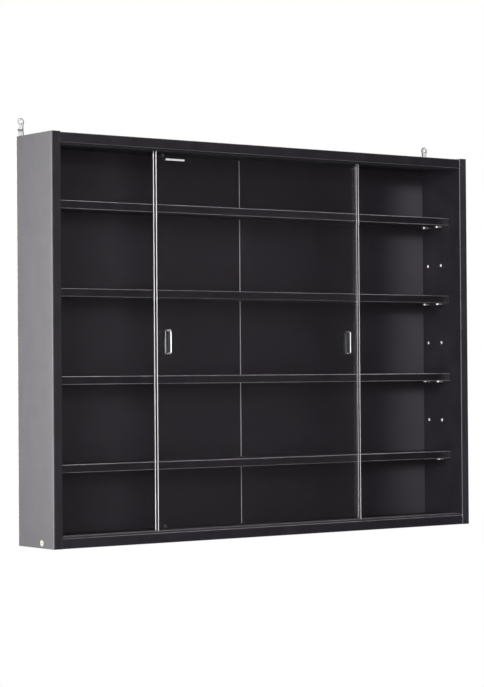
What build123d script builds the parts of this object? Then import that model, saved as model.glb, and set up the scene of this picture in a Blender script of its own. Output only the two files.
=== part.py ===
from build123d import *
import os

# Wall-mounted showcase: a shallow flat-pack case with four loose shelves behind two sliding
# glass doors, hung on two eyed plates.
#
# Frame: +X to the viewer's right, +Y into the wall, +Z up, millimetres. The origin is midway
# between the two hanger holes, in the plane of the wall.

# ---- case ----
CASE_WIDTH = 800.0
CASE_HEIGHT = 600.0
CASE_DEPTH = 98.0
BOARD = 15.0
TOP_INSET = 1.0            # the top panel stops this far below the tops of the sides
FRONT_ROUND = 1.6          # rounding of the sides' front edges
PANEL_ROUND = 1.0          # rounding of the panels' and shelves' front edges

# ---- hangers ----
HANGER_RISE = 21.0         # eye centre above the top of the sides
HANGER_X = 394.0           # eye centre from the middle of the case
HANGER_THICK = 1.5
HANGER_JOGGLE = 0.6        # the leg sits this far forward of the eye
HANGER_WIDTH = 10.0
HANGER_FOOT = 66.0         # eye centre to the foot of the leg
EYE_RADIUS = 6.2
EYE_HOLE_RADIUS = 2.5
JOGGLE_TOP = 10.5          # both measured down from the eye centre
JOGGLE_FOOT = 14.0
HANGER_SCREW_DROPS = (33.0, 54.0)
HANGER_SCREW_SHANK = 1.7
HANGER_SCREW_HEAD = 3.3
HANGER_SCREW_LENGTH = 20.0 # shank below the head

# ---- back ----
BACK_THICK = 3.0
BACK_SETBACK = 92.5        # front of the case to the front of the back board
BACK_REBATE = 6.0          # rebate depth into the four case boards
BACK_FREE = 0.5            # free play of the board in its rebate
BACK_GAP = 1.6             # gap between the two halves
TAPE_WIDTH = 40.0
TAPE_THICK = 0.3
NAIL_RADIUS = 0.8
NAIL_HEAD_RADIUS = 2.2
NAIL_HEAD_THICK = 0.7
NAIL_LENGTH = 14.0
NAIL_INSET = 2.8           # nail centre from the edge of the board
NAILS_UP_SIDE = 5
NAILS_ALONG_HALF = 3

# ---- tracks ----
TRACK_SETBACK = 4.0        # front of the case to the front of both tracks
TRACK_WALL = 2.0
CHANNEL = 5.0
TRACK_DEPTH = 3 * TRACK_WALL + 2 * CHANNEL
TRACK_WEB = 1.5
TRACK_END_FREE = 0.5
BOTTOM_TRACK_LET_IN = 2.5
BOTTOM_TRACK_PROUD = 2.8
TOP_TRACK_LET_IN = 7.0
TOP_TRACK_PROUD = 3.2

# ---- glass doors ----
GLASS = 4.0
DOOR_WIDTH = 390.0
DOOR_CENTRE_X = -20.0      # both doors stand here at rest, one behind the other
DOOR_FLOAT = 0.2           # air under the glass
DOOR_HEAD_ROOM = 4.9       # room over the glass, so that a pane lifts out of the bottom track
GLASS_CHAMFER = 0.5

# ---- finger pulls ----
PULL_WIDTH = 12.4
PULL_HEIGHT = 37.2
PULL_CORNER = 3.0
PULL_FLANGE = 1.0
PULL_FROM_EDGE = 20.0      # pull centre from the outer edge of its door
PULL_DROP = 2.0            # pull centre below the middle of its door
CUP_WIDTH = 10.0
CUP_HEIGHT = 34.8
CUP_CORNER = 2.0
CUP_WALL = 1.0
CUP_FREE = 0.2             # play of the cup in the slot of the glass
FLANGE_ROUND = 0.45
MOUTH_CHAMFER = 1.1        # flare of the cup's mouth

# ---- bumpers on the left door ----
BUMPER_RADIUS = 2.6
BUMPER_THICK = 1.2
BUMPER_INSET_X = 14.0      # bumper centre from the outer edge and from the ends of the pane
BUMPER_INSET_Z = 9.5
BUMPER_DOME = 0.9

# ---- plain label ----
LABEL_WIDTH = 34.0
LABEL_HEIGHT = 2.8
LABEL_THICK = 0.2
LABEL_FROM_EDGE = 17.5
LABEL_FROM_TOP = 13.8

# ---- shelves and pins ----
SHELF_COUNT = 4
SHELF_THICK = 12.0
SHELF_SETBACK = 26.0       # front of the case to the front of the shelves
SHELF_END_FREE = 1.0
SHELF_BACK_FREE = 0.5
HOLE_ROWS = 7
HOLE_PITCH = 64.0
FIRST_HOLE = 106.4         # lowest row above the underside of the sides
HOLE_SETBACKS = (48.0, 80.0)
PIN_RADIUS = 2.5
PIN_SHANK = 9.0
HOLE_DEPTH = 10.0
COLLAR_RADIUS = 4.2
COLLAR_THICK = 0.8
SPOON_LENGTH = 12.0
SPOON_WIDTH = 7.6
SPOON_THICK = 2.6
SPOON_TOP = 1.0            # top of the spoon above the hole centre
SHELF_FLOAT = 0.1          # air between spoon and shelf

# ---- case fasteners ----
CASE_SCREW_SETBACK = 34.0
CASE_SCREW_HEAD = 4.4
CASE_SCREW_HEAD_THICK = 2.6
CASE_SCREW_SHOULDER = 3.5
CASE_SCREW_CORE = 2.6
CASE_SCREW_LENGTH = 50.0
HEX_SOCKET = 2.3           # circumscribed radius of the hexagon socket
HEX_DEPTH = 2.0
DOWEL_RADIUS = 4.0
DOWEL_IN_SIDE = 10.0
DOWEL_IN_PANEL = 20.0
REAR_FASTENER_SETBACK = 66.0
CAM_RADIUS = 7.5
CAM_THICK = 11.0
CAM_FROM_SIDE = 24.0       # cam centre from the inner face of the side
CAM_BORE_RADIUS = 4.0
CAM_BOLT_RADIUS = 2.9
CAM_BOLT_HEAD_RADIUS = 3.7
CAM_BOLT_THREAD_RADIUS = 2.5
CAM_BOLT_IN_SIDE = 11.0
CROSS_LENGTH = 8.0
CROSS_WIDTH = 1.2
CROSS_DEPTH = 2.0

# ---- worked out from the sizes above ----
OUTER_X = CASE_WIDTH / 2
INNER_X = OUTER_X - BOARD
BASE_Z = -(HANGER_RISE + CASE_HEIGHT)
LEG_REAR = -HANGER_JOGGLE
LEG_FRONT = LEG_REAR - HANGER_THICK


def depth(distance):
    """Y of a plane this far behind the front of the case."""
    return distance - CASE_DEPTH


def level(height):
    """Z of a plane this far above the underside of the side panels."""
    return BASE_Z + height


FRONT = depth(0)
BACK_FRONT = depth(BACK_SETBACK)
BACK_REAR = BACK_FRONT + BACK_THICK
BOTTOM_LOW = level(0)
BOTTOM_TOP = BOTTOM_LOW + BOARD
TOP_HIGH = level(CASE_HEIGHT - TOP_INSET)
TOP_LOW = TOP_HIGH - BOARD
BOTTOM_MID = (BOTTOM_LOW + BOTTOM_TOP) / 2
TOP_MID = (TOP_LOW + TOP_HIGH) / 2
BOARD_LOW = BOTTOM_TOP - BACK_REBATE + BACK_FREE
BOARD_HIGH = TOP_LOW + BACK_REBATE - BACK_FREE
BOARD_EDGE_X = INNER_X + BACK_REBATE - BACK_FREE

TRACK_FRONT = depth(TRACK_SETBACK)
TRACK_REAR = TRACK_FRONT + TRACK_DEPTH
BOTTOM_TRACK_LOW = BOTTOM_TOP - BOTTOM_TRACK_LET_IN
BOTTOM_TRACK_HIGH = BOTTOM_TOP + BOTTOM_TRACK_PROUD
TOP_TRACK_LOW = TOP_LOW - TOP_TRACK_PROUD
TOP_TRACK_HIGH = TOP_LOW + TOP_TRACK_LET_IN
CHANNEL_PITCH = CHANNEL + TRACK_WALL
FRONT_CHANNEL = TRACK_FRONT + TRACK_WALL

DOOR_LOW = BOTTOM_TRACK_LOW + TRACK_WEB + DOOR_FLOAT
DOOR_HIGH = TOP_TRACK_HIGH - TRACK_WEB - DOOR_HEAD_ROOM
PULL_Z = (DOOR_LOW + DOOR_HIGH) / 2 - PULL_DROP
DOOR_LEFT_X = DOOR_CENTRE_X - DOOR_WIDTH / 2
DOOR_RIGHT_X = DOOR_CENTRE_X + DOOR_WIDTH / 2
GLASS_FRONTS = {
    "left": FRONT_CHANNEL + (CHANNEL - GLASS) / 2,
    "right": FRONT_CHANNEL + (CHANNEL - GLASS) / 2 + CHANNEL_PITCH,
}
PULL_X = {
    "left": DOOR_LEFT_X + PULL_FROM_EDGE,
    "right": DOOR_RIGHT_X - PULL_FROM_EDGE,
}


def block(x_span, y_span, z_span):
    """Box between two planes on each axis."""
    (x0, x1), (y0, y1), (z0, z1) = x_span, y_span, z_span
    return Pos((x0 + x1) / 2, (y0 + y1) / 2, (z0 + z1) / 2) * Box(x1 - x0, y1 - y0, z1 - z0)


def rod_x(x_span, y, z, radius):
    """Cylinder along X."""
    x0, x1 = x_span
    return Pos((x0 + x1) / 2, y, z) * Rot(0, 90, 0) * Cylinder(radius, x1 - x0)


def rod_y(x, y_span, z, radius):
    """Cylinder along Y."""
    y0, y1 = y_span
    return Pos(x, (y0 + y1) / 2, z) * Rot(90, 0, 0) * Cylinder(radius, y1 - y0)


def rounded_plate(centre_x, centre_z, y_span, width, height, corner):
    """Upright plate facing the front, with rounded corners."""
    y0, y1 = y_span
    face = Plane(origin=(centre_x, y0, centre_z), x_dir=(1, 0, 0), z_dir=(0, 1, 0))
    return extrude(face * RectangleRounded(width, height, corner), amount=y1 - y0)


def left_of(solid):
    """The same piece on the other side of the case."""
    return mirror(solid, about=Plane.YZ)


def round_front(solid, radius, axis):
    """Round the front edges that run along the given axis."""
    edges = solid.edges().filter_by(axis).group_by(Axis.Y)[0]
    return fillet(edges, radius)


def shelf_hole_level(row):
    """Z of a row of shelf-pin holes, counted from 0 at the bottom."""
    return level(FIRST_HOLE + row * HOLE_PITCH)


def hanger_screw_levels():
    return [-drop for drop in HANGER_SCREW_DROPS]


# ---- case boards ----
def side_panel():
    """Right side panel, with its shelf holes, rebate, fastener holes and hanger pocket."""
    panel = block((INNER_X, OUTER_X), (FRONT, 0), (level(0), level(CASE_HEIGHT)))
    panel = round_front(panel, FRONT_ROUND, Axis.Z)
    rebate_z = (BOTTOM_TOP - BACK_REBATE, TOP_LOW + BACK_REBATE)
    panel -= block((INNER_X, INNER_X + BACK_REBATE), (BACK_FRONT, 0), rebate_z)
    for row in range(HOLE_ROWS):
        for setback in HOLE_SETBACKS:
            hole_x = (INNER_X, INNER_X + HOLE_DEPTH)
            panel -= rod_x(hole_x, depth(setback), shelf_hole_level(row), PIN_RADIUS)
    # the bottom case screw goes right through, with a seat for its head
    screw_y = depth(CASE_SCREW_SETBACK)
    panel -= rod_x((INNER_X, OUTER_X), screw_y, BOTTOM_MID, CASE_SCREW_SHOULDER)
    head_x = (OUTER_X - CASE_SCREW_HEAD_THICK, OUTER_X)
    panel -= rod_x(head_x, screw_y, BOTTOM_MID, CASE_SCREW_HEAD)
    # blind holes for the dowels and the cam bolt
    dowel_x = (INNER_X, INNER_X + DOWEL_IN_SIDE)
    panel -= rod_x(dowel_x, depth(REAR_FASTENER_SETBACK), BOTTOM_MID, DOWEL_RADIUS)
    panel -= rod_x(dowel_x, depth(CASE_SCREW_SETBACK), TOP_MID, DOWEL_RADIUS)
    bolt_x = (INNER_X, INNER_X + CAM_BOLT_IN_SIDE)
    panel -= rod_x(bolt_x, depth(REAR_FASTENER_SETBACK), TOP_MID, CAM_BOLT_THREAD_RADIUS)
    # pocket in the rear edge for the hanger's leg, and the holes for its screws
    pocket_x = (HANGER_X - HANGER_WIDTH / 2, HANGER_X + HANGER_WIDTH / 2)
    panel -= block(pocket_x, (LEG_FRONT, 0), (-HANGER_FOOT, level(CASE_HEIGHT)))
    for screw_z in hanger_screw_levels():
        panel -= rod_y(HANGER_X, (LEG_FRONT - HANGER_SCREW_LENGTH, LEG_FRONT), screw_z, HANGER_SCREW_SHANK)
    return panel


def cross_panel(low, high, rebate_z, groove_z):
    """Top or bottom board between the sides, with a rebate for the back and a track groove."""
    panel = block((-INNER_X, INNER_X), (FRONT, 0), (low, high))
    panel = round_front(panel, PANEL_ROUND, Axis.X)
    panel -= block((-INNER_X, INNER_X), (BACK_FRONT, 0), rebate_z)
    panel -= block((-INNER_X, INNER_X), (TRACK_FRONT, TRACK_REAR), groove_z)
    return panel


def bottom_panel():
    rebate_z = (BOTTOM_TOP - BACK_REBATE, BOTTOM_TOP)
    groove_z = (BOTTOM_TRACK_LOW, BOTTOM_TOP)
    panel = cross_panel(BOTTOM_LOW, BOTTOM_TOP, rebate_z, groove_z)
    core_length = CASE_SCREW_LENGTH - BOARD
    for end_x in ((INNER_X - core_length, INNER_X), (-INNER_X, core_length - INNER_X)):
        panel -= rod_x(end_x, depth(CASE_SCREW_SETBACK), BOTTOM_MID, CASE_SCREW_CORE)
    for end_x in ((INNER_X - DOWEL_IN_PANEL, INNER_X), (-INNER_X, DOWEL_IN_PANEL - INNER_X)):
        panel -= rod_x(end_x, depth(REAR_FASTENER_SETBACK), BOTTOM_MID, DOWEL_RADIUS)
    return panel


def top_panel():
    rebate_z = (TOP_LOW, TOP_LOW + BACK_REBATE)
    groove_z = (TOP_LOW, TOP_TRACK_HIGH)
    panel = cross_panel(TOP_LOW, TOP_HIGH, rebate_z, groove_z)
    rear_y = depth(REAR_FASTENER_SETBACK)
    cam_x = INNER_X - CAM_FROM_SIDE
    for end_x in ((INNER_X - DOWEL_IN_PANEL, INNER_X), (-INNER_X, DOWEL_IN_PANEL - INNER_X)):
        panel -= rod_x(end_x, depth(CASE_SCREW_SETBACK), TOP_MID, DOWEL_RADIUS)
    for bolt_x in ((cam_x, INNER_X), (-INNER_X, -cam_x)):
        panel -= rod_x(bolt_x, rear_y, TOP_MID, CAM_BORE_RADIUS)
    for x in (cam_x, -cam_x):
        panel -= Pos(x, rear_y, TOP_HIGH - CAM_THICK / 2) * Cylinder(CAM_RADIUS, CAM_THICK)
    return panel


def back_board():
    """Right half of the back."""
    board_x = (BACK_GAP / 2, BOARD_EDGE_X)
    board = block(board_x, (BACK_FRONT, BACK_REAR), (BOARD_LOW, BOARD_HIGH))
    for x, z in nail_places():
        if x > 0:
            board -= rod_y(x, (BACK_FRONT, BACK_REAR), z, NAIL_RADIUS)
    return board


def back_joint_tape():
    tape_y = (BACK_REAR, BACK_REAR + TAPE_THICK)
    half = TAPE_WIDTH / 2
    return block((-half, half), tape_y, (BOARD_LOW + BACK_REBATE, BOARD_HIGH - BACK_REBATE))


def nail_places():
    """X and Z of each nail, round the edge of the back."""
    places = []
    side_x = BOARD_EDGE_X - NAIL_INSET
    low, high = BOARD_LOW + NAIL_INSET, BOARD_HIGH - NAIL_INSET
    for step in range(NAILS_UP_SIDE):
        z = low + (high - low) * (step + 0.5) / NAILS_UP_SIDE
        places += [(-side_x, z), (side_x, z)]
    for step in range(NAILS_ALONG_HALF):
        x = side_x * (step + 0.5) / NAILS_ALONG_HALF
        places += [(-x, low), (x, low), (-x, high), (x, high)]
    return places


def back_nails():
    """Nails with flat heads, each a separate solid."""
    nails = []
    for x, z in nail_places():
        shank = rod_y(x, (BACK_REAR - NAIL_LENGTH, BACK_REAR), z, NAIL_RADIUS)
        nails.append(shank + rod_y(x, (BACK_REAR, BACK_REAR + NAIL_HEAD_THICK), z, NAIL_HEAD_RADIUS))
    return nails


def drill_nail_holes(panel):
    """Take the nails' shanks out of a case board."""
    for x, z in nail_places():
        panel -= rod_y(x, (BACK_REAR - NAIL_LENGTH, BACK_REAR), z, NAIL_RADIUS)
    return panel


# ---- tracks ----
def track(low, high, channel_z):
    """Double channel with three walls, open towards the glass."""
    length_x = (-INNER_X + TRACK_END_FREE, INNER_X - TRACK_END_FREE)
    profile = block(length_x, (TRACK_FRONT, TRACK_REAR), (low, high))
    for channel_front in (FRONT_CHANNEL, FRONT_CHANNEL + CHANNEL_PITCH):
        profile -= block(length_x, (channel_front, channel_front + CHANNEL), channel_z)
    return profile


def bottom_track():
    channel_z = (BOTTOM_TRACK_LOW + TRACK_WEB, BOTTOM_TRACK_HIGH)
    return track(BOTTOM_TRACK_LOW, BOTTOM_TRACK_HIGH, channel_z)


def top_track():
    channel_z = (TOP_TRACK_LOW, TOP_TRACK_HIGH - TRACK_WEB)
    return track(TOP_TRACK_LOW, TOP_TRACK_HIGH, channel_z)


# ---- shelves ----
def shelf_row(number):
    """Row of holes that carries a shelf: every other row, counted from the bottom."""
    return 2 * (number - 1)


def shelf(number):
    low = shelf_hole_level(shelf_row(number)) + SPOON_TOP + SHELF_FLOAT
    half = INNER_X - SHELF_END_FREE
    shelf_y = (depth(SHELF_SETBACK), BACK_FRONT - SHELF_BACK_FREE)
    board = block((-half, half), shelf_y, (low, low + SHELF_THICK))
    return round_front(board, PANEL_ROUND, Axis.X)


def shelf_pin(y, z):
    """Right-hand pin: a shank in the hole, a collar on the board and a spoon under the shelf."""
    shank = rod_x((INNER_X, INNER_X + PIN_SHANK), y, z, PIN_RADIUS)
    collar = rod_x((INNER_X - COLLAR_THICK, INNER_X), y, z, COLLAR_RADIUS)
    spoon_x = (INNER_X - SPOON_LENGTH, INNER_X - COLLAR_THICK / 2)
    spoon_y = (y - SPOON_WIDTH / 2, y + SPOON_WIDTH / 2)
    spoon = block(spoon_x, spoon_y, (z + SPOON_TOP - SPOON_THICK, z + SPOON_TOP))
    tip = spoon.edges().filter_by(Axis.Z).group_by(Axis.X)[0]
    spoon = fillet(tip, SPOON_WIDTH / 2.2)
    return shank + collar + spoon


def shelf_pins(number):
    """The four pins that carry one shelf."""
    z = shelf_hole_level(shelf_row(number))
    right = [shelf_pin(depth(setback), z) for setback in HOLE_SETBACKS]
    return right + [left_of(pin) for pin in right]


# ---- glass doors ----
def door_glass(side):
    """Pane with ground edges and a slot for its finger pull."""
    front = GLASS_FRONTS[side]
    pane = block((DOOR_LEFT_X, DOOR_RIGHT_X), (front, front + GLASS), (DOOR_LOW, DOOR_HIGH))
    pane = chamfer(pane.edges().filter_by(Axis.Z) + pane.edges().filter_by(Axis.X), GLASS_CHAMFER)
    slot_y = (front, front + GLASS)
    slot_size = (CUP_WIDTH + 2 * CUP_FREE, CUP_HEIGHT + 2 * CUP_FREE, CUP_CORNER + CUP_FREE)
    return pane - rounded_plate(PULL_X[side], PULL_Z, slot_y, *slot_size)


def finger_pull(side):
    """Cup through the glass, with a rounded flange on the front and a flared mouth."""
    x, front = PULL_X[side], GLASS_FRONTS[side]
    flange_front = front - PULL_FLANGE
    cup_rear = front + GLASS + PULL_FLANGE
    flange = rounded_plate(x, PULL_Z, (flange_front, front), PULL_WIDTH, PULL_HEIGHT, PULL_CORNER)
    flange = fillet(flange.faces().sort_by(Axis.Y)[0].edges(), FLANGE_ROUND)
    cup = rounded_plate(x, PULL_Z, (front, cup_rear), CUP_WIDTH, CUP_HEIGHT, CUP_CORNER)
    inner_size = (CUP_WIDTH - 2 * CUP_WALL, CUP_HEIGHT - 2 * CUP_WALL, CUP_CORNER - CUP_WALL)
    recess = rounded_plate(x, PULL_Z, (flange_front, cup_rear - CUP_WALL), *inner_size)
    pull = flange + cup - recess
    mouth = pull.faces().sort_by(Axis.Y)[0].inner_wires()[0].edges()
    return chamfer(mouth, MOUTH_CHAMFER)


def pull_ring(side):
    """Clamp ring that holds the cup behind the glass."""
    x, front = PULL_X[side], GLASS_FRONTS[side]
    ring_y = (front + GLASS, front + GLASS + PULL_FLANGE)
    ring = rounded_plate(x, PULL_Z, ring_y, PULL_WIDTH, PULL_HEIGHT, PULL_CORNER)
    return ring - rounded_plate(x, PULL_Z, ring_y, CUP_WIDTH, CUP_HEIGHT, CUP_CORNER)


def door_bumpers():
    """Domed dots behind the left pane that keep the two panes apart."""
    rear = GLASS_FRONTS["left"] + GLASS
    x = DOOR_LEFT_X + BUMPER_INSET_X
    bumpers = []
    for z in (DOOR_LOW + BUMPER_INSET_Z, DOOR_HIGH - BUMPER_INSET_Z):
        dot = rod_y(x, (rear, rear + BUMPER_THICK), z, BUMPER_RADIUS)
        bumpers.append(fillet(dot.faces().sort_by(Axis.Y)[-1].edges(), BUMPER_DOME))
    return bumpers


def blank_label():
    """Plain strip near the top outer corner of the left door."""
    front = GLASS_FRONTS["left"]
    centre_x = DOOR_LEFT_X + LABEL_FROM_EDGE + LABEL_WIDTH / 2
    centre_z = DOOR_HIGH - LABEL_FROM_TOP - LABEL_HEIGHT / 2
    label_y = (front - LABEL_THICK, front)
    return rounded_plate(centre_x, centre_z, label_y, LABEL_WIDTH, LABEL_HEIGHT, LABEL_HEIGHT / 4)


# ---- hangers ----
def hanger():
    """Right hanger: an eye above the case, a joggle, and a leg let into the side's rear edge."""
    outline = Polyline(
        (LEG_FRONT, -HANGER_FOOT),
        (LEG_REAR, -HANGER_FOOT),
        (LEG_REAR, -JOGGLE_FOOT),
        (0, -JOGGLE_TOP),
        (0, 0),
        (-HANGER_THICK, 0),
        (-HANGER_THICK, -JOGGLE_TOP),
        (LEG_FRONT, -JOGGLE_FOOT),
        close=True,
    )
    left_edge = HANGER_X - HANGER_WIDTH / 2
    strip = extrude(Plane.YZ.offset(left_edge) * make_face(outline), amount=HANGER_WIDTH)
    plate = strip + rod_y(HANGER_X, (-HANGER_THICK, 0), 0, EYE_RADIUS)
    plate -= rod_y(HANGER_X, (-HANGER_THICK, 0), 0, EYE_HOLE_RADIUS)
    for screw_z in hanger_screw_levels():
        plate -= countersink(screw_z)
    return plate


def countersink(z):
    """Cone of a countersunk hanger screw, over the thickness of the leg."""
    cone = Cone(HANGER_SCREW_HEAD, HANGER_SCREW_SHANK, HANGER_THICK)
    return Pos(HANGER_X, (LEG_FRONT + LEG_REAR) / 2, z) * Rot(90, 0, 0) * cone


def hanger_screws():
    """Two countersunk screws in each leg."""
    screws = []
    for z in hanger_screw_levels():
        shank = rod_y(HANGER_X, (LEG_FRONT - HANGER_SCREW_LENGTH, LEG_FRONT), z, HANGER_SCREW_SHANK)
        screw = shank + countersink(z)
        for turn in (0, 90):
            slot = Box(HANGER_SCREW_HEAD, HANGER_THICK, HANGER_SCREW_SHANK / 3)
            screw -= Pos(HANGER_X, LEG_REAR, z) * Rot(0, turn, 0) * slot
        screws.append(screw)
    return screws + [left_of(screw) for screw in screws]


# ---- case fasteners ----
def case_screws():
    """Screws with flat heads and hexagon sockets, from the sides into the bottom panel."""
    y = depth(CASE_SCREW_SETBACK)
    head_x = (OUTER_X - CASE_SCREW_HEAD_THICK, OUTER_X)
    screw = rod_x(head_x, y, BOTTOM_MID, CASE_SCREW_HEAD)
    screw += rod_x((INNER_X, head_x[0]), y, BOTTOM_MID, CASE_SCREW_SHOULDER)
    screw += rod_x((OUTER_X - CASE_SCREW_LENGTH, INNER_X), y, BOTTOM_MID, CASE_SCREW_CORE)
    socket_face = Plane(origin=(OUTER_X, y, BOTTOM_MID), x_dir=(0, 1, 0), z_dir=(1, 0, 0))
    screw -= extrude(socket_face * RegularPolygon(HEX_SOCKET, 6), amount=-HEX_DEPTH)
    return [screw, left_of(screw)]


def dowels():
    """Wooden dowels: two at the bottom rear, two at the top front."""
    dowel_x = (INNER_X - DOWEL_IN_PANEL, INNER_X + DOWEL_IN_SIDE)
    bottom = rod_x(dowel_x, depth(REAR_FASTENER_SETBACK), BOTTOM_MID, DOWEL_RADIUS)
    top = rod_x(dowel_x, depth(CASE_SCREW_SETBACK), TOP_MID, DOWEL_RADIUS)
    return [bottom, top, left_of(bottom), left_of(top)]


def cam_nuts():
    """Cams let into the top panel from above, each with a cross slot and a hollow for its bolt."""
    y = depth(REAR_FASTENER_SETBACK)
    x = INNER_X - CAM_FROM_SIDE
    cam = Pos(x, y, TOP_HIGH - CAM_THICK / 2) * Cylinder(CAM_RADIUS, CAM_THICK)
    cam -= rod_x((x, INNER_X), y, TOP_MID, CAM_BORE_RADIUS)
    for turn in (0, 90):
        slot = Box(CROSS_LENGTH, CROSS_WIDTH, 2 * CROSS_DEPTH)
        cam -= Pos(x, y, TOP_HIGH) * Rot(0, 0, turn) * slot
    return [cam, left_of(cam)]


def cam_bolts():
    """Bolts screwed into the sides, with round heads inside the cams."""
    y = depth(REAR_FASTENER_SETBACK)
    head_end = INNER_X - CAM_FROM_SIDE
    head_x = (head_end, head_end + CAM_BOLT_HEAD_RADIUS)
    bolt = rod_x(head_x, y, TOP_MID, CAM_BOLT_HEAD_RADIUS)
    bolt += rod_x((head_x[1], INNER_X), y, TOP_MID, CAM_BOLT_RADIUS)
    bolt += rod_x((INNER_X, INNER_X + CAM_BOLT_IN_SIDE), y, TOP_MID, CAM_BOLT_THREAD_RADIUS)
    return [bolt, left_of(bolt)]


def write(node, shape):
    """Save one node: a solid, or a group of separate solids."""
    group = shape if isinstance(shape, list) else [shape]
    solids = [solid for piece in group for solid in piece.solids()]
    export_step(Compound(solids) if len(solids) > 1 else solids[0], f"parts/{node}.step")


os.makedirs("parts", exist_ok=True)

right_side = drill_nail_holes(side_panel())
right_board = back_board()
right_hanger = hanger()

write("right_side_panel", right_side)
write("left_side_panel", left_of(right_side))
write("top_panel", drill_nail_holes(top_panel()))
write("bottom_panel", drill_nail_holes(bottom_panel()))
write("back_board_right", right_board)
write("back_board_left", left_of(right_board))
write("back_joint_tape", back_joint_tape())
write("back_nails", back_nails())
write("top_track", top_track())
write("bottom_track", bottom_track())
for shelf_number in range(1, SHELF_COUNT + 1):
    write(f"shelf_{shelf_number}", shelf(shelf_number))
    write(f"shelf_pins_{shelf_number}", shelf_pins(shelf_number))
for door_side in ("left", "right"):
    write(f"door_glass_{door_side}", door_glass(door_side))
    write(f"finger_pull_{door_side}", finger_pull(door_side))
    write(f"pull_ring_{door_side}", pull_ring(door_side))
write("door_bumpers", door_bumpers())
write("blank_label", blank_label())
write("hanger_right", right_hanger)
write("hanger_left", left_of(right_hanger))
write("hanger_screws", hanger_screws())
write("case_screws", case_screws())
write("dowels", dowels())
write("cam_nuts", cam_nuts())
write("cam_bolts", cam_bolts())
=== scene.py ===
import math

import bmesh
import bpy
from mathutils import Matrix, Vector


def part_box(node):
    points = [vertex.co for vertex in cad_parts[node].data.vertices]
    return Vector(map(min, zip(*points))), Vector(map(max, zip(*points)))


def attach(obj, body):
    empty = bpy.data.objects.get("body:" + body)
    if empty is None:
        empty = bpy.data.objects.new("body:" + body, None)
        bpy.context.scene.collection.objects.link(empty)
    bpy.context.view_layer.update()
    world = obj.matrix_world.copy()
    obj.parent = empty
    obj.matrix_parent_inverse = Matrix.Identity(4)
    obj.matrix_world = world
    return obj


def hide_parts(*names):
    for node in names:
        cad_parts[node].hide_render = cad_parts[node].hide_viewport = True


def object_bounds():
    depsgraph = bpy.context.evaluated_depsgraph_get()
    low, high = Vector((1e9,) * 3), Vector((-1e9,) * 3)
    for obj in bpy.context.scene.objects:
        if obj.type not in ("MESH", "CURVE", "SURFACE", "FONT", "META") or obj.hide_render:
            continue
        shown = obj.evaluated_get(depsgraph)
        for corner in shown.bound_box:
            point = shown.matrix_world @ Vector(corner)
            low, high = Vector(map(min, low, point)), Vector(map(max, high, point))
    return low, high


# Looks for the wall-mounted showcase. Metres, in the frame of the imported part: +X to the
# viewer's right, +Y into the wall, +Z up, origin midway between the hanger holes.

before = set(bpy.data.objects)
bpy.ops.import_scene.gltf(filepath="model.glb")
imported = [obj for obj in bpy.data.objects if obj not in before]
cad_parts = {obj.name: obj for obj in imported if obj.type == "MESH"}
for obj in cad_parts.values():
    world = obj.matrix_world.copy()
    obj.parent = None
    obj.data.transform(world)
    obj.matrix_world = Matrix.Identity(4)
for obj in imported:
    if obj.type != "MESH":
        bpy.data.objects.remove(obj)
bpy.context.view_layer.update()
cad_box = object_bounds()
MM = 0.001

SIDES = ("left", "right")
SHELVES = (1, 2, 3, 4)


# ---- colours ----
def rgb(red, green, blue):
    return (red, green, blue, 1)


def grey(level):
    return rgb(level, level, level)


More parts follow.
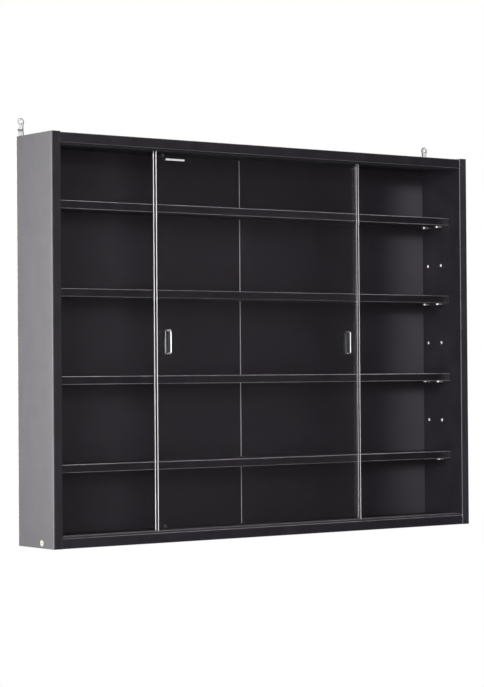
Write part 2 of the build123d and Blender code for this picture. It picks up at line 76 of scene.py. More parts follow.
# ---- node helpers ----
class Surface:
    """A node material, with short calls for the nodes that the materials below share."""

    def __init__(self, name):
        self.material = bpy.data.materials.new(name)
        self.material.use_nodes = True
        self.tree = self.material.node_tree
        self.shader = self.tree.nodes["Principled BSDF"]
        self.output = self.tree.nodes["Material Output"]
        self.place = self.tree.nodes.new("ShaderNodeTexCoord").outputs["Object"]

    def feed(self, socket, value):
        if isinstance(value, bpy.types.NodeSocket):
            self.tree.links.new(value, socket)
        else:
            socket.default_value = value

    def node(self, kind, **inputs):
        made = self.tree.nodes.new(kind)
        for name, value in inputs.items():
            self.feed(made.inputs[name.replace("_", " ")], value)
        return made

    def set(self, **values):
        """Inputs of the material's shader."""
        for name, value in values.items():
            self.feed(self.shader.inputs[name.replace("_", " ")], value)

    def axes(self):
        """The shaded point's X, Y and Z."""
        made = self.node("ShaderNodeSeparateXYZ", Vector=self.place)
        return made.outputs[0], made.outputs[1], made.outputs[2]

    # sums
    def math(self, operation, first, second=0.0):
        made = self.tree.nodes.new("ShaderNodeMath")
        made.operation = operation
        self.feed(made.inputs[0], first)
        self.feed(made.inputs[1], second)
        return made.outputs[0]

    def plus(self, first, second):
        return self.math("ADD", first, second)

    def minus(self, first, second):
        return self.math("SUBTRACT", first, second)

    def times(self, first, *others):
        for other in others:
            first = self.math("MULTIPLY", first, other)
        return first

    def larger(self, first, second):
        return self.math("MAXIMUM", first, second)

    def smaller(self, first, second):
        return self.math("MINIMUM", first, second)

    def size(self, value):
        """The value without its sign."""
        return self.math("ABSOLUTE", value)

    def radius(self, across, along):
        """Distance from a centre, from the two offsets."""
        squares = self.plus(self.times(across, across), self.times(along, along))
        return self.math("SQRT", squares)

    # masks, 0 or 1
    def above(self, value, limit):
        return self.math("GREATER_THAN", value, limit)

    def below(self, value, limit):
        return self.math("LESS_THAN", value, limit)

    # ramps and mixes
    def span(self, value, start, stop, low=0.0, high=1.0):
        """Value from start to stop becomes low to high, clamped."""
        made = self.node("ShaderNodeMapRange")
        for socket, number in zip(made.inputs[:5], (value, start, stop, low, high)):
            self.feed(socket, number)
        return made.outputs[0]

    def vary(self, noise, low, high):
        """Noise, which keeps near its middle, spread from low to high."""
        return self.span(noise, 0.3, 0.7, low, high)

    def switch(self, share, first, second):
        """From one number to another."""
        made = self.node("ShaderNodeMix", Factor=share)
        self.feed(made.inputs[2], first)
        self.feed(made.inputs[3], second)
        return made.outputs[0]

    def blend(self, share, first, second, kind="MIX"):
        """From one colour to another."""
        made = self.tree.nodes.new("ShaderNodeMix")
        made.data_type = "RGBA"
        made.blend_type = kind
        self.feed(made.inputs[0], share)
        self.feed(made.inputs[6], first)
        self.feed(made.inputs[7], second)
        return made.outputs[2]

    def scaled(self, colour, factor):
        """A colour times a number."""
        level = self.node("ShaderNodeCombineColor", Red=factor, Green=factor, Blue=factor)
        return self.blend(1.0, colour, level.outputs[0], kind="MULTIPLY")

    # textures
    def noise(self, scale, detail, roughness=0.5):
        made = self.node("ShaderNodeTexNoise", Vector=self.place, Scale=scale, Detail=detail)
        made.inputs["Roughness"].default_value = roughness
        return made.outputs[0]

    def grain(self, scales, detail):
        """Noise with its own scale along each axis, for scratches and fibres."""
        stretched = self.node("ShaderNodeMapping", Vector=self.place, Scale=scales)
        made = self.node("ShaderNodeTexNoise", Vector=stretched.outputs[0], Scale=1.0, Detail=detail)
        return made.outputs[0]

    def chips(self, scale):
        """A tone for each of many small cells."""
        made = self.node("ShaderNodeTexVoronoi", Vector=self.place, Scale=scale)
        return self.node("ShaderNodeSeparateColor", Color=made.outputs["Color"]).outputs[0]

    def bump(self, height, distance, strength):
        return self.node("ShaderNodeBump", Strength=strength, Distance=distance, Height=height).outputs[0]


def box_depths(surface, low, high):
    """How far the shaded point lies inside each pair of faces of a box."""
    depths = []
    for value, start, stop in zip(surface.axes(), low, high):
        depths.append(surface.smaller(surface.minus(value, start), surface.minus(stop, value)))
    return depths


def whitened_patches(surface):
    """How much of an edge is whitened, unevenly along it: by wear and painted highlight on the board
    arrises, by painted highlight on the track rims.
    """
    return surface.span(surface.noise(45, 4), 0.35, 0.65, 0.55, 1.0)


# ---- board ----
BOARD_BLACK = rgb(0.0166, 0.0140, 0.0190)
# one edge band; its tone per board is painted light and shade: paler on the side panels, palest on the
# right one, darker on the shelves
LEFT_BAND_BLACK = rgb(0.0190, 0.0168, 0.0218)
RIGHT_BAND_BLACK = rgb(0.0240, 0.0215, 0.0268)
SHELF_BAND_BLACK = rgb(0.0105, 0.0085, 0.0122)
# painted light on the end of a shelf's band beside the right side panel
SHELF_END_PAINTED_LIGHT = rgb(0.0330, 0.0290, 0.0370)
# painted highlight on the left side's outer face beside its front edge
SHEEN_PAINTED_GREY = rgb(0.040, 0.038, 0.042)
CORE_PALE = rgb(0.97, 0.96, 0.93)
CORE_DARK = rgb(0.88, 0.85, 0.79)
REAR_PALE = rgb(0.72, 0.60, 0.46)
REAR_DARK = rgb(0.42, 0.31, 0.21)
# pale arris tones, one per board: partly wear of the trimmed band, partly painted highlight of the rounded
# edges
LEFT_ARRIS = rgb(0.036, 0.035, 0.038)
RIGHT_ARRIS = rgb(0.088, 0.086, 0.091)
PANEL_ARRIS = rgb(0.125, 0.122, 0.130)
SHELF_ARRIS = rgb(0.475, 0.430, 0.478)
JOINT_ARRIS = rgb(0.50, 0.47, 0.51)
# how much of each shelf's upper and lower arris is whitened, by wear and painted highlight
SHELF_ARRIS_LIGHTENING = {1: (0.95, 0.53), 2: (0.92, 0.68), 3: (0.53, 0.37), 4: (1.0, 0.68)}

SKIN = 0.3 * MM                     # melamine and foil
BAND = 0.5 * MM                     # edge band along the front
SOLID_FRONT = 2 * MM                # there are no holes nearer to the front edge than this
REAR_EDGE = 0.45 * MM               # the rear edge's raw face, with its chipped border
CHIPPING = 0.35 * MM
ARRIS = 1.0 * MM
ARRIS_FADE = 0.6                    # share of the arris that is fully whitened, by wear and painted highlight
JOINT_LENGTH = 16 * MM              # how far the top and bottom panels cover a side panel's ends
PAINTED_LIGHT_BAND_END = (24 * MM, 7 * MM)        # a shelf's band is painted lighter between these places before its right end: painted light thrown on it by the right side panel
SHEEN_PAINTED_DEPTH = (2 * MM, 5 * MM)    # the left side's painted sheen strip fades out between these depths


def chipboard(surface, at_rear):
    """Colour of raw particle board: pale chips in the drilled holes, browned along the rear edge."""
    chips = surface.chips(420)
    tone = surface.plus(surface.times(surface.noise(900, 3), 0.6), surface.times(chips, 0.4))
    fresh = surface.blend(tone, CORE_DARK, CORE_PALE)
    return surface.blend(at_rear, fresh, surface.blend(tone, REAR_DARK, REAR_PALE))


def arris_mask(surface, behind_front, to_edge):
    """Uneven whitened line along the edge band's long edges: partly wear where the band was trimmed, partly
    painted highlight of the rounded arris.
    """
    near_front = surface.span(behind_front, ARRIS * ARRIS_FADE, ARRIS, 1, 0)
    near_edge = surface.span(to_edge, ARRIS * ARRIS_FADE, ARRIS, 1, 0)
    return surface.times(near_front, near_edge, whitened_patches(surface))


def rear_mask(surface, y, high):
    """The raw rear edge of a board, with a chipped border."""
    ragged = surface.span(surface.noise(700, 3), 0.35, 0.65, -CHIPPING, CHIPPING)
    return surface.above(y, surface.plus(high.y - REAR_EDGE, ragged))


def core_mask(surface, behind_front, depths):
    """Walls of holes and grooves."""
    inside = surface.smaller(surface.smaller(depths[0], depths[1]), depths[2])
    return surface.times(surface.above(inside, SKIN), surface.above(behind_front, SOLID_FRONT))


def board_skin(surface, low, high, band, band_end_light, painted_sheen):
    """Faintly mottled black melamine, with the edge band along the front."""
    x, y, _ = surface.axes()
    behind_front = surface.minus(y, low.y)
    if band_end_light:
        # the last stretch of a shelf's band is painted lighter: painted light thrown on it by the glossy
        # right side panel
        start, stop = PAINTED_LIGHT_BAND_END
        band = surface.blend(surface.span(x, high.x - start, high.x - stop), band, band_end_light)
    black = surface.blend(surface.below(behind_front, BAND), BOARD_BLACK, band)
    if painted_sheen:
        # the outer face is painted paler beside the front edge: a painted highlight of the rounded front
        # edge
        beside_front = surface.span(behind_front, *SHEEN_PAINTED_DEPTH, 1, 0)
        on_outer = surface.below(x, low.x + SKIN)
        black = surface.blend(surface.times(beside_front, on_outer), black, SHEEN_PAINTED_GREY)
    mottle = surface.span(surface.noise(35, 4), 0.35, 0.7, 0.85, 1.2)
    return surface.scaled(black, mottle)


def side_arris(surface, low, high, depth_in_z, arris):
    """A side panel's inner arris stands out where the top and bottom panels butt against it."""
    x, _, _ = surface.axes()
    beside_panel = surface.below(depth_in_z, JOINT_LENGTH)
    is_inner = surface.below(surface.size(x), abs(low.x + high.x) / 2)
    return surface.blend(surface.times(beside_panel, is_inner), arris, JOINT_ARRIS)


def board_material(node, arris, band=BOARD_BLACK, lightening=(1, 1), band_end_light=None, painted_sheen=False):
    """Black melamine over particle board. The raw core shows in holes and on the rear edge."""
    low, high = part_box(node)
    surface = Surface("melamine_" + node)
    _, y, z = surface.axes()
    depths = box_depths(surface, low, high)
    behind_front = surface.minus(y, low.y)
    upright = high.z - low.z > high.x - low.x
    if upright:
        to_edge = depths[0]
        arris = side_arris(surface, low, high, depths[2], arris)
    else:
        to_edge = depths[2]
    upper_lightening, lower_lightening = lightening
    in_upper_half = surface.above(z, (low.z + high.z) / 2)
    lightening_share = surface.span(in_upper_half, 0, 1, lower_lightening, upper_lightening)
    # the whitened arris line: partly wear, partly painted highlight
    rim_part = surface.times(arris_mask(surface, behind_front, to_edge), lightening_share)
    black = board_skin(surface, low, high, band, band_end_light, painted_sheen)
    at_rear = rear_mask(surface, y, high)
    raw = surface.larger(core_mask(surface, behind_front, depths), at_rear)
    skin_roughness = surface.vary(surface.noise(60, 3), 0.34, 0.44)
    surface.set(
        Base_Color=surface.blend(raw, surface.blend(rim_part, black, arris), chipboard(surface, at_rear)),
        Roughness=surface.larger(skin_roughness, surface.times(raw, 0.85)),
        Specular_IOR_Level=0.5,
        Normal=surface.bump(surface.noise(1500, 2), 0.05 * MM, 0.35),
    )
    return surface.material


# ---- back ----
FOIL_BLACK = rgb(0.0181, 0.0145, 0.0205)
FOIL_PALER = rgb(0.0217, 0.0174, 0.0243)
FIBRE_DARK = rgb(0.25, 0.155, 0.085)
FIBRE_PALE = rgb(0.50, 0.36, 0.22)
# painted light on the middle joint's cut edges
JOINT_LIGHT_DARK = rgb(0.84, 0.84, 0.83)
JOINT_LIGHT_PALE = rgb(0.96, 0.96, 0.95)
JOINT_EDGE = 2 * MM     # half the width of the middle joint, its cut edges included


def back_material(node):
    """Thin hardboard: black foil in front, raw brown behind and on the cut edges, with painted light on
    those at the middle joint.
    """
    low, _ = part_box(node)
    surface = Surface("hardboard_" + node)
    x, y, _ = surface.axes()
    raw = surface.above(y, low.y + SKIN)
    fibre = surface.noise(260, 5, 0.7)
    brown = surface.blend(fibre, FIBRE_DARK, FIBRE_PALE)
    # the cut edges at the middle joint are painted near white: painted light where light shows through the
    # joint
    at_joint = surface.below(surface.size(x), JOINT_EDGE)
    brown = surface.blend(at_joint, brown, surface.blend(fibre, JOINT_LIGHT_DARK, JOINT_LIGHT_PALE))
    foil = surface.blend(surface.vary(surface.noise(24, 4), 0, 1), FOIL_BLACK, FOIL_PALER)
    surface.set(
        Base_Color=surface.blend(raw, foil, brown),
        Roughness=surface.plus(surface.times(raw, 0.3), 0.5),
        Specular_IOR_Level=0.4,
        Normal=surface.bump(surface.noise(1200, 2), 0.05 * MM, 0.3),
    )
    return surface.material


def tape_material():
    surface = Surface("paper_tape")
    fibre = surface.grain((300, 300, 90), 4)
    surface.set(
        Base_Color=surface.blend(fibre, rgb(0.42, 0.29, 0.16), rgb(0.60, 0.45, 0.28)),
        Roughness=0.72,
        Normal=surface.bump(fibre, 0.04 * MM, 0.4),
    )
    return surface.material


# ---- tracks ----
# both tracks are one black plastic; the bottom track's paler blacks are painted light
TRACK_BLACKS = {
    "top_track": (rgb(0.016, 0.0155, 0.018), rgb(0.024, 0.023, 0.026)),
    "bottom_track": (rgb(0.040, 0.038, 0.043), rgb(0.056, 0.053, 0.060)),
}
# height of the painted highlight along a wall's rim
RIM = 0.6 * MM
RIM_HIGHLIGHT_GREY = rgb(0.17, 0.165, 0.175)


def track_material(node):
    """Drawn black plastic, with a painted highlight along the walls' rims, uneven along them."""
    _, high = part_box(node)
    dark, pale = TRACK_BLACKS[node]
    surface = Surface("pvc_" + node)
    drawn = surface.grain((8, 2500, 2500), 2)
    _, _, z = surface.axes()
    rim_highlight = surface.times(surface.above(z, high.z - RIM), whitened_patches(surface))
    surface.set(
        Base_Color=surface.blend(rim_highlight, surface.blend(drawn, dark, pale), RIM_HIGHLIGHT_GREY),
        Roughness=surface.vary(drawn, 0.30, 0.42),
        Normal=surface.bump(drawn, 0.02 * MM, 0.3),
    )
    return surface.material


# ---- metal ----
CHROME = rgb(0.58, 0.58, 0.59)
SMEARED_CHROME = rgb(0.48, 0.48, 0.49)
SMEAR = 0.82            # tone of finger marks beside clean plating
SCRATCH_DEPTH = 0.02 * MM
UPRIGHT_SCRATCHES = (900, 900, 60)
SPECKLED = (700, 700, 700)


def plated_material(name, colour, roughness, scratch_scales):
    """Plated metal with fine scratches, finger marks and faint pitting."""
    surface = Surface(name)
    red, green, blue, _ = colour
    darker = rgb(red * SMEAR, green * SMEAR, blue * SMEAR)
    scratches = surface.grain(scratch_scales, 3)
    smears = surface.noise(90, 3)
    scratched = surface.vary(scratches, roughness, roughness + 0.12)
    surface.set(
        Base_Color=surface.blend(surface.span(smears, 0.3, 0.75), colour, darker),
        Metallic=1.0,
        Roughness=surface.plus(scratched, surface.times(smears, 0.06)),
        Normal=surface.bump(scratches, SCRATCH_DEPTH, 0.25),
    )
    return surface.material


def fastener_material():
    """Pale passivated zinc with a faint green cast."""
    return plated_material("zinc_plate", rgb(0.74, 0.77, 0.70), 0.28, SPECKLED)


def ring_material():
    return plated_material("ring_chrome", CHROME, 0.07, UPRIGHT_SCRATCHES)


# where the painted shade along a hanger's edges begins and ends, measured from the eye's centre
EYE_RIM = (4.6 * MM, 5.6 * MM)
HOLE_RIM = (2.9 * MM, 3.6 * MM)
LEG_INNER_EDGE = (-4.2 * MM, -3.2 * MM)
LEG_OUTER_EDGE = (4.4 * MM, 4.8 * MM)
EYE_FOOT = -3.7 * MM
BEND_FOOT = (-15.5 * MM, -11.2 * MM)
BEND_HEAD = (-10.6 * MM, -10.2 * MM)
OUTER_SHARE = 0.3       # the painted shade on the outer and upper edges is this share of that on the inner and lower ones
# colour of the painted shade on a hanger's edges and bend
EDGE_SHADE_GREY = rgb(0.10, 0.10, 0.11)


def hanger_edge_shade(surface, outward, z):
    """Painted shade along the sheared edges of the eye and of the leg below it."""
    radius = surface.radius(outward, z)
    inner_side = surface.span(outward, -1 * MM, 2 * MM, 1, OUTER_SHARE)
    low_side = surface.span(z, -1 * MM, 1 * MM, 1, OUTER_SHARE)
    rim = surface.times(surface.span(radius, *EYE_RIM), inner_side)
    hole = surface.times(surface.span(radius, *HOLE_RIM, 1, 0), low_side)
    inner_edge = surface.span(outward, *LEG_INNER_EDGE, 1, 0)
    outer_edge = surface.span(outward, *LEG_OUTER_EDGE, 0, OUTER_SHARE)
    on_eye = surface.above(z, EYE_FOOT)
    return surface.switch(on_eye, surface.larger(inner_edge, outer_edge), surface.larger(rim, hole))


def hanger_material():
    """Bright zinc, with painted shade along the sheared edges and across the bend."""
    low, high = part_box("hanger_right")
    surface = Surface("hanger_zinc")
    x, _, z = surface.axes()
    outward = surface.minus(surface.size(x), (low.x + high.x) / 2)
    # painted shade across the bend, whose face turns down
    bend = surface.times(surface.span(z, *BEND_FOOT), surface.span(z, *BEND_HEAD, 1, 0))
    dark = surface.larger(hanger_edge_shade(surface, outward, z), bend)
    smears = surface.noise(300, 3)
    bright = surface.blend(smears, grey(0.95), grey(0.99))
    surface.set(
        Base_Color=surface.blend(dark, bright, EDGE_SHADE_GREY),
        Metallic=0.08,
        Roughness=surface.vary(smears, 0.36, 0.48),
        Normal=surface.bump(surface.noise(1400, 2), SCRATCH_DEPTH, 0.3),
    )
    return surface.material


CUP_HALF_WIDTH = 5.05 * MM
CUP_STRAIGHT_HALF_HEIGHT = 16 * MM
MOUTH_DEPTH = 1.12 * MM
MOUTH_HIGHLIGHT_TONES = {"left": 0.6, "right": 0.98}      # painted highlight on each cup's flared sides, stronger on the right pull


def pull_material(node, mouth_highlight_tone):
    """Bright chrome on the flange, duller in the cup, and a satin painted highlight on its flared sides."""
    low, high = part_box(node)
    surface = Surface("chrome_" + node)
    x, y, z = surface.axes()
    off_x = surface.size(surface.minus(x, (low.x + high.x) / 2))
    off_z = surface.size(surface.minus(z, (low.z + high.z) / 2))
    in_width = surface.below(off_x, CUP_HALF_WIDTH)
    in_height = surface.below(off_z, CUP_STRAIGHT_HALF_HEIGHT)
    in_cup = surface.times(in_width, in_height)
    # the cup's flared sides, which carry the painted highlight
    mouth = surface.times(in_cup, surface.below(y, low.y + MOUTH_DEPTH))
    scratches = surface.grain(UPRIGHT_SCRATCHES, 3)
    dulled = surface.plus(surface.vary(scratches, 0.06, 0.12), surface.times(in_cup, 0.05))
    plated = surface.blend(surface.noise(90, 3), CHROME, SMEARED_CHROME)
    surface.set(
        Base_Color=surface.blend(mouth, plated, grey(mouth_highlight_tone)),
        Metallic=1.0,
        Roughness=surface.plus(dulled, surface.times(mouth, 0.26)),
        Normal=surface.bump(scratches, SCRATCH_DEPTH, 0.25),
    )
    return surface.material


COLLAR_REACH = 0.85 * MM    # a shelf pin's collar stands this far off the side panel
# painted shade on a pin's collar against the board
COLLAR_SHADE = rgb(0.05, 0.05, 0.053)


def pin_material():
    """Bright nickel on the spoons, with painted shade on the collars against the boards."""
    panel_low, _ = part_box("right_side_panel")
    surface = Surface("pin_nickel")
    x, _, _ = surface.axes()
    at_collar = surface.above(surface.size(x), panel_low.x - COLLAR_REACH)
    speckle = surface.noise(900, 3)
    bright = surface.blend(speckle, rgb(0.92, 0.915, 0.91), rgb(0.98, 0.975, 0.97))
    surface.set(
        Base_Color=surface.blend(at_collar, bright, COLLAR_SHADE),
        Metallic=0.8,
        Roughness=surface.vary(speckle, 0.22, 0.32),
        Normal=surface.bump(speckle, SCRATCH_DEPTH, 0.25),
    )
    return surface.material


SOCKET_RADIUS = 2.4 * MM
# painted light inside the hex socket
SOCKET_PAINTED_LIGHT = rgb(0.66, 0.67, 0.58)


def case_screw_material():
    """Dull yellowish zinc, painted brighter inside the socket: painted light in a hollow that lies in
    shade.
    """
    low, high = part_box("case_screws")
    surface = Surface("case_screw_zinc")
    _, y, z = surface.axes()
    off_y = surface.minus(y, (low.y + high.y) / 2)
    off_z = surface.minus(z, (low.z + high.z) / 2)
    in_socket = surface.below(surface.radius(off_y, off_z), SOCKET_RADIUS)
    speckle = surface.noise(700, 3)
    rim_part = surface.blend(speckle, rgb(0.26, 0.27, 0.19), rgb(0.38, 0.39, 0.30))
    surface.set(
        Base_Color=surface.blend(in_socket, rim_part, SOCKET_PAINTED_LIGHT),
        Metallic=0.3,
        Roughness=surface.vary(speckle, 0.44, 0.58),
        Normal=surface.bump(speckle, SCRATCH_DEPTH, 0.3),
    )
    return surface.material


# ---- small parts ----
def dowel_material():
    surface = Surface("beech")
    grain = surface.grain((60, 900, 900), 4)
    surface.set(
        Base_Color=surface.blend(grain, rgb(0.50, 0.33, 0.19), rgb(0.72, 0.54, 0.36)),
        Roughness=0.62,
        Normal=surface.bump(grain, 0.08 * MM, 0.5),
    )
    return surface.material


def label_material():
    surface = Surface("label_film")
    film = surface.noise(1400, 3)
    surface.set(
        Base_Color=surface.blend(film, grey(0.72), grey(0.84)),
        Roughness=0.45,
        Normal=surface.bump(film, 0.01 * MM, 0.3),
    )
    return surface.material


def rubber_material():
    surface = Surface("bumper_rubber")
    grain = surface.noise(900, 3)
    surface.set(
        Base_Color=surface.blend(grain, rgb(0.10, 0.10, 0.11), rgb(0.17, 0.17, 0.18)),
        Roughness=0.38,
        Normal=surface.bump(grain, 0.02 * MM, 0.3),
    )
    return surface.material


# ---- glass ----
GLASS_TINT = rgb(0.992, 0.990, 0.992)
LAMP_TINT = rgb(0.850, 0.835, 0.851)    # what one face of a pane leaves of a lamp's light
FROSTED_LEFT = 0.6 * MM                 # depth of the frosted part of a pane's left end
FROSTED_RIGHT = 2.1 * MM
FROST_FADE = 0.4 * MM
# painted shade on the rear part of a pane's ground edges
REAR_EDGE_SHADE = grey(0.02)
GROUND_TURN = 0.8                       # faces that look less than this to the front or rear are ground


def clear_glass():
    """Float glass. Lamps reach what is behind it."""
    surface = Surface("clear_glass")
    surface.set(
        Base_Color=GLASS_TINT,
        Transmission_Weight=1.0,
        IOR=1.5,
        Roughness=surface.span(surface.noise(14, 4), 0.45, 0.8, 0.0, 0.03),
    )
    open_way = surface.node("ShaderNodeBsdfTransparent", Color=LAMP_TINT)
    path = surface.node("ShaderNodeLightPath")
    mix = surface.node("ShaderNodeMixShader")
    surface.feed(mix.inputs[0], path.outputs["Is Shadow Ray"])
    surface.feed(mix.inputs[1], surface.shader.outputs[0])
    surface.feed(mix.inputs[2], open_way.outputs[0])
    surface.feed(surface.output.inputs[0], mix.outputs[0])
    return surface.material


def ground_glass(node):
    """A pane's ground edges: frosted white towards the front, and smoother behind, with painted shade
    there.
    """
    low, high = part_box(node)
    surface = Surface("ground_edge_" + node)
    x, y, _ = surface.axes()
    grit = surface.noise(2600, 2)
    middle = (low.x + high.x) / 2
    frosted_depth = surface.span(x, middle, middle + MM, FROSTED_LEFT, FROSTED_RIGHT)
    past_frosted = surface.minus(surface.minus(y, low.y), frosted_depth)
    shaded_rear = surface.span(past_frosted, 0, FROST_FADE)
    surface.set(
        Base_Color=surface.blend(shaded_rear, surface.blend(grit, grey(0.70), grey(0.80)), REAR_EDGE_SHADE),
        Roughness=surface.vary(grit, 0.44, 0.54),
        Specular_IOR_Level=0.3,
        Normal=surface.bump(grit, 0.01 * MM, 0.08),
    )
    return surface.material


def make_panes():
    """The panes as two-material pieces: clear faces, ground edges."""
    clear = clear_glass()
    panes = []
    for side in SIDES:
        node = "door_glass_" + side
        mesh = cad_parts[node].data.copy()
        mesh.name = f"{side}_pane"
        mesh.materials.clear()
        mesh.materials.append(clear)
        mesh.materials.append(ground_glass(node))
        for face in mesh.polygons:
            face.material_index = 1 if abs(face.normal.y) < GROUND_TURN else 0
        pane = bpy.data.objects.new(f"{side}_pane", mesh)
        bpy.context.scene.collection.objects.link(pane)
        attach(pane, side + "_door")
        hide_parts(node)
        panes.append(pane)
    return panes


# ---- materials to nodes ----
def give(material, *nodes):
    """Every slot of these CAD nodes takes this material."""
    for node in nodes:
        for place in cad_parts[node].material_slots:
            place.material = material


def dress_boards():
    left, right = "left_side_panel", "right_side_panel"
    give(board_material(left, LEFT_ARRIS, LEFT_BAND_BLACK, painted_sheen=True), left)
    give(board_material(right, RIGHT_ARRIS, RIGHT_BAND_BLACK), right)
    for node in ("top_panel", "bottom_panel"):
        give(board_material(node, PANEL_ARRIS), node)
    for number in SHELVES:
        node = f"shelf_{number}"
        give(board_material(node, SHELF_ARRIS, SHELF_BAND_BLACK, SHELF_ARRIS_LIGHTENING[number], SHELF_END_PAINTED_LIGHT), node)
    for side in SIDES:
        node = "back_board_" + side
        give(back_material(node), node)
    give(tape_material(), "back_joint_tape")
    give(dowel_material(), "dowels")


def dress_fittings():
    for node in TRACK_BLACKS:
        give(track_material(node), node)
    for side in SIDES:
        node = "finger_pull_" + side
        give(pull_material(node, MOUTH_HIGHLIGHT_TONES[side]), node)
    give(ring_material(), *("pull_ring_" + side for side in SIDES))
    give(hanger_material(), *("hanger_" + side for side in SIDES))
    give(pin_material(), *(f"shelf_pins_{number}" for number in SHELVES))
    give(fastener_material(), "back_nails", "cam_bolts", "cam_nuts", "hanger_screws")
    give(case_screw_material(), "case_screws")
    give(label_material(), "blank_label")
    give(rubber_material(), "door_bumpers")


# ---- camera ----
CAMERA_PLACE = Vector((-2.0698, -2.7930, -0.3687))
CAMERA_YAW = 36.669
CAMERA_PITCH = 0.735
CAMERA_ROLL = 0.412
CAMERA_LENS = 115.79
SENSOR = 36.0


def make_camera():
    yaw, pitch, roll = map(math.radians, (CAMERA_YAW, CAMERA_PITCH, CAMERA_ROLL))
    forward = Vector((math.sin(yaw) * math.cos(pitch), math.cos(yaw) * math.cos(pitch), math.sin(pitch)))
    level_right = Vector((math.cos(yaw), -math.sin(yaw), 0))
    level_down = forward.cross(level_right)
    right = math.cos(roll) * level_right + math.sin(roll) * level_down
    down = math.cos(roll) * level_down - math.sin(roll) * level_right
    data = bpy.data.cameras.new("camera")
    data.lens = CAMERA_LENS
    data.sensor_width = SENSOR
    camera = bpy.data.objects.new("camera", data)
    turn = Matrix((right, -down, -forward)).transposed()
    camera.matrix_world = Matrix.Translation(CAMERA_PLACE) @ turn.to_4x4()
    bpy.context.scene.collection.objects.link(camera)
    bpy.context.scene.camera = camera


# ---- light ----
LIGHT_TARGET = Vector((0.0, -0.05, -0.32))
WORLD_SEEN = 1.0
WORLD_FILL = 0.028

# azimuth to the left of straight ahead, height angle, distance, width, height, radiance
SOFTBOXES = {
    "key": (26, 16, 3.2, 0.5, 0.4, 18.0),
    "far_key": (11, 16, 5.8, 0.6, 0.5, 2.6),
    "front_fill": (8, 4, 4.0, 2.4, 2.0, 2.5),
    "camera_side_high": (34, 30, 3.0, 1.0, 0.8, 4.5),
    "camera_side_low": (20, -34, 2.6, 1.2, 1.0, 1.8),
    "left": (55, 5, 3.0, 1.0, 1.6, 6.0),
    "left_rear": (146, 0, 2.6, 2.6, 2.2, 1.6),
    "right_overhead": (-80, 52, 2.6, 1.8, 1.4, 8.2),
    "right_low": (-80, -50, 2.0, 1.8, 1.4, 1.5),
    "side_glow": (60, 6, 2.6, 0.8, 1.4, 14.2),
}
# two upright panels beside the left side grade its sheen: place, width, height, radiance
SIDE_TARGET = Vector((-0.4, -0.02, -0.30))
SIDE_SOFTBOXES = {
    "left_panel": ((-1.25, 0.36, -0.30), 0.5, 1.0, 5.0),
    "left_near_panel": ((-0.95, 0.22, -0.30), 0.4, 0.9, 8.6),
}
# a narrow strip lights the back beside the right side panel
STRIP_TARGET = Vector((0.379, 0, -0.32))
STRIP_PLACE = (0.379, -0.60, -0.16)
STRIP_SIZE = (0.02, 0.62)
STRIP_RADIANCE = 4.0
STRIP_SPREAD = 18


def make_world():
    """White behind the object, and an even dim light on it."""
    world = bpy.data.worlds.new("studio")
    world.use_nodes = True
    tree = world.node_tree
    background = tree.nodes["Background"]
    background.inputs[0].default_value = grey(1)
    path = tree.nodes.new("ShaderNodeLightPath")
    level = tree.nodes.new("ShaderNodeMapRange")
    level.inputs["To Min"].default_value = WORLD_FILL
    level.inputs["To Max"].default_value = WORLD_SEEN
    tree.links.new(path.outputs["Is Camera Ray"], level.inputs[0])
    tree.links.new(level.outputs[0], background.inputs[1])
    bpy.context.scene.world = world
    bpy.context.scene.view_settings.view_transform = "Standard"


def around(azimuth, height, distance):
    """Place at this distance from the middle of the case."""
    turn, rise = math.radians(azimuth), math.radians(height)
    level_distance = distance * math.cos(rise)
    offset = (-level_distance * math.sin(turn), -level_distance * math.cos(turn), distance * math.sin(rise))
    return LIGHT_TARGET + Vector(offset)


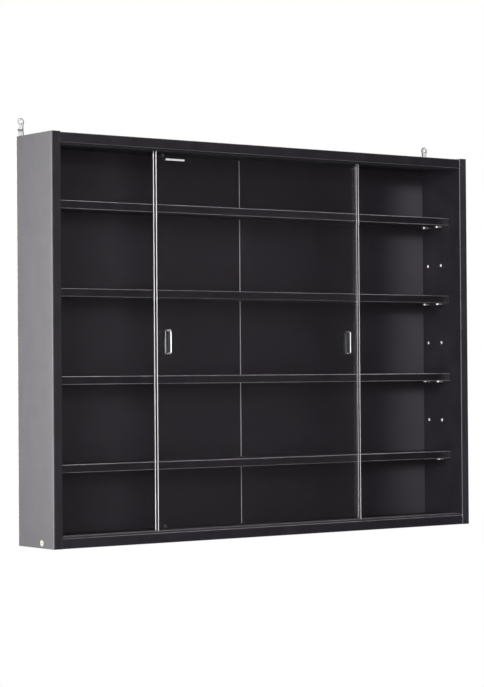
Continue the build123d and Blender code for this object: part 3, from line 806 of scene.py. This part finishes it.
def make_softbox(name, place, target, width, height, radiance):
    """Rectangular lamp, kept out of sight."""
    data = bpy.data.lights.new(name, "AREA")
    data.shape = "RECTANGLE"
    data.size = width
    data.size_y = height
    data.energy = radiance * math.pi * width * height
    lamp = bpy.data.objects.new(name, data)
    lamp.location = place
    lamp.rotation_mode = "QUATERNION"
    lamp.rotation_quaternion = (target - Vector(place)).to_track_quat("-Z", "Y")
    lamp.visible_camera = False
    lamp.visible_transmission = False
    bpy.context.scene.collection.objects.link(lamp)
    return lamp


def light_only(lamp, *pieces):
    """Link a lamp to a few pieces."""
    receivers = bpy.data.collections.new(lamp.name + "_receivers")
    for piece in pieces:
        receivers.objects.link(piece)
    lamp.light_linking.receiver_collection = receivers


def make_lights(panes):
    lamps = {}
    for name, (azimuth, height_angle, distance, width, height, radiance) in SOFTBOXES.items():
        place = around(azimuth, height_angle, distance)
        lamps[name] = make_softbox(name, place, LIGHT_TARGET, width, height, radiance)
    light_only(lamps["side_glow"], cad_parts["right_side_panel"], *panes)
    for name, (place, width, height, radiance) in SIDE_SOFTBOXES.items():
        make_softbox(name, place, SIDE_TARGET, width, height, radiance)
    strip = make_softbox("corner_strip", STRIP_PLACE, STRIP_TARGET, *STRIP_SIZE, STRIP_RADIANCE)
    strip.data.spread = math.radians(STRIP_SPREAD)
    light_only(strip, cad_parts["back_board_right"])


# ---- floor ----
FLOOR_RADIUS = 1.35
FLOOR_CORNERS = 96
FLOOR_DROP = 0.8


def make_floor():
    """Pale round floor, well below the case."""
    low, high = cad_box
    mesh = bpy.data.meshes.new("floor")
    disc = bmesh.new()
    bmesh.ops.create_circle(disc, cap_ends=True, radius=FLOOR_RADIUS, segments=FLOOR_CORNERS)
    disc.to_mesh(mesh)
    disc.free()
    floor = bpy.data.objects.new("floor", mesh)
    floor.location = ((low.x + high.x) / 2, 0, low.z - FLOOR_DROP)
    surface = Surface("pale_floor")
    surface.set(
        Base_Color=surface.blend(surface.noise(6, 4), rgb(0.70, 0.70, 0.69), rgb(0.76, 0.76, 0.75)),
        Roughness=0.7,
    )
    mesh.materials.append(surface.material)
    bpy.context.scene.collection.objects.link(floor)


dress_boards()
dress_fittings()
glass_panes = make_panes()
make_camera()
make_world()
make_lights(glass_panes)
make_floor()

bpy.context.view_layer.update()
